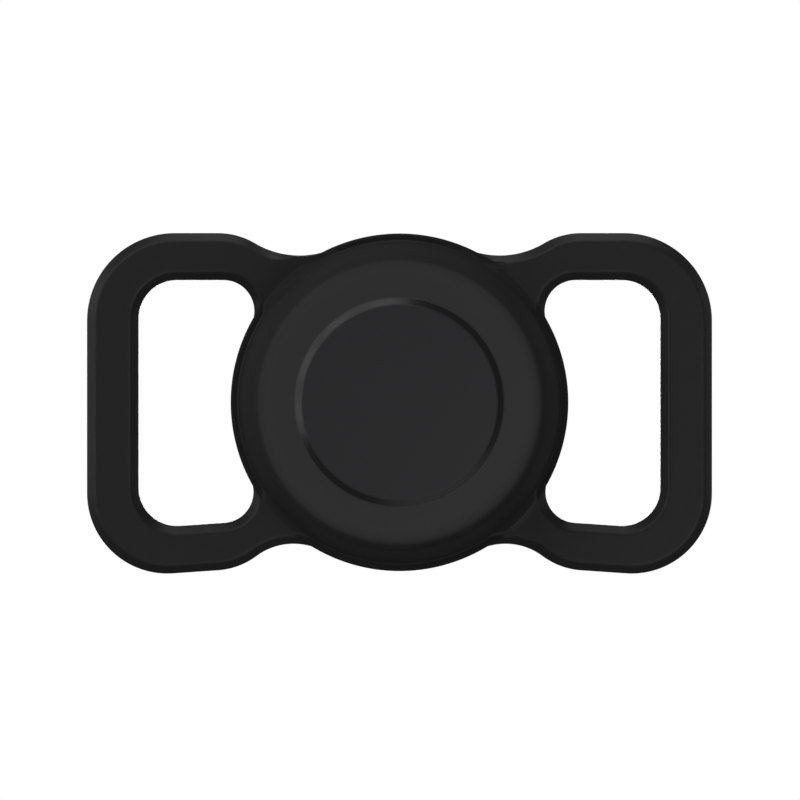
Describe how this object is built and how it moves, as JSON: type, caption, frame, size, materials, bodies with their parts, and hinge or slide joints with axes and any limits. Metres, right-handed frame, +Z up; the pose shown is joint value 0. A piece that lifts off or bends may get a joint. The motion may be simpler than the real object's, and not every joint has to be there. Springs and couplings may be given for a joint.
{
  "type": "tracker tag holder",
  "caption": "Black silicone holder for a coin-shaped tracker tag: a round pod that the tag is pushed into from behind, with a strap loop at each side to slide onto a flat collar.",
  "frame": {"origin": "where the pod's axis meets the back face, which lies on the strap", "axes": "+X along the strap, to the right seen from the front; +Y from front to back, so the front faces -Y; +Z up, across the strap"},
  "size_m": [0.0686, 0.0113, 0.0373],
  "materials": {
    "silicone": "matte black silicone",
    "shell_plastic": "polished white",
    "cover_steel": "polished stainless",
    "bayonet_plastic": "moulded",
    "seal_rubber": "matte",
    "cell_steel": "nickel plated",
    "gasket_plastic": "moulded",
    "spring_bronze": "plated spring strip",
    "board_laminate": "green solder mask",
    "shield_tin": "tinned",
    "chip_epoxy": "moulded epoxy",
    "capacitor_ceramic": "fired",
    "piezo_ceramic": "silvered",
    "sounder_brass": "rolled",
    "adhesive_ring": "foam tape"
  },
  "bodies": {
    "holder": {"holder_body": "silicone"},
    "tag": {"tag_front_shell": "shell_plastic", "tag_back_shell": "shell_plastic", "cover_seal": "seal_rubber", "cell_can": "cell_steel", "cell_gasket": "gasket_plastic", "cell_cap": "cell_steel", "negative_contact": "spring_bronze", "positive_contacts": "spring_bronze", "circuit_board": "board_laminate", "shield_can": "shield_tin", "radio_chip": "chip_epoxy", "board_chips": "chip_epoxy", "crystal": "shield_tin", "chip_capacitors": "capacitor_ceramic", "antenna": "spring_bronze", "sounder_contacts": "spring_bronze", "sounder_ceramic": "piezo_ceramic", "sounder_plate": "sounder_brass", "sounder_adhesive": "adhesive_ring"},
    "cover": {"battery_cover": "cover_steel", "cover_bayonet": "bayonet_plastic"}
  },
  "joints": [
    {"name": "tag_push_out", "type": "slide", "parent": "holder", "child": "tag", "axis": [0, 1, 0], "range_m": [0, 0.015], "deforming": ["holder_body"]},
    {"name": "cover_twist", "type": "hinge", "parent": "tag", "child": "cover", "pos_m": [0, 0, 0], "axis": [0, 1, 0], "range_deg": [0, 34]}
  ]
}
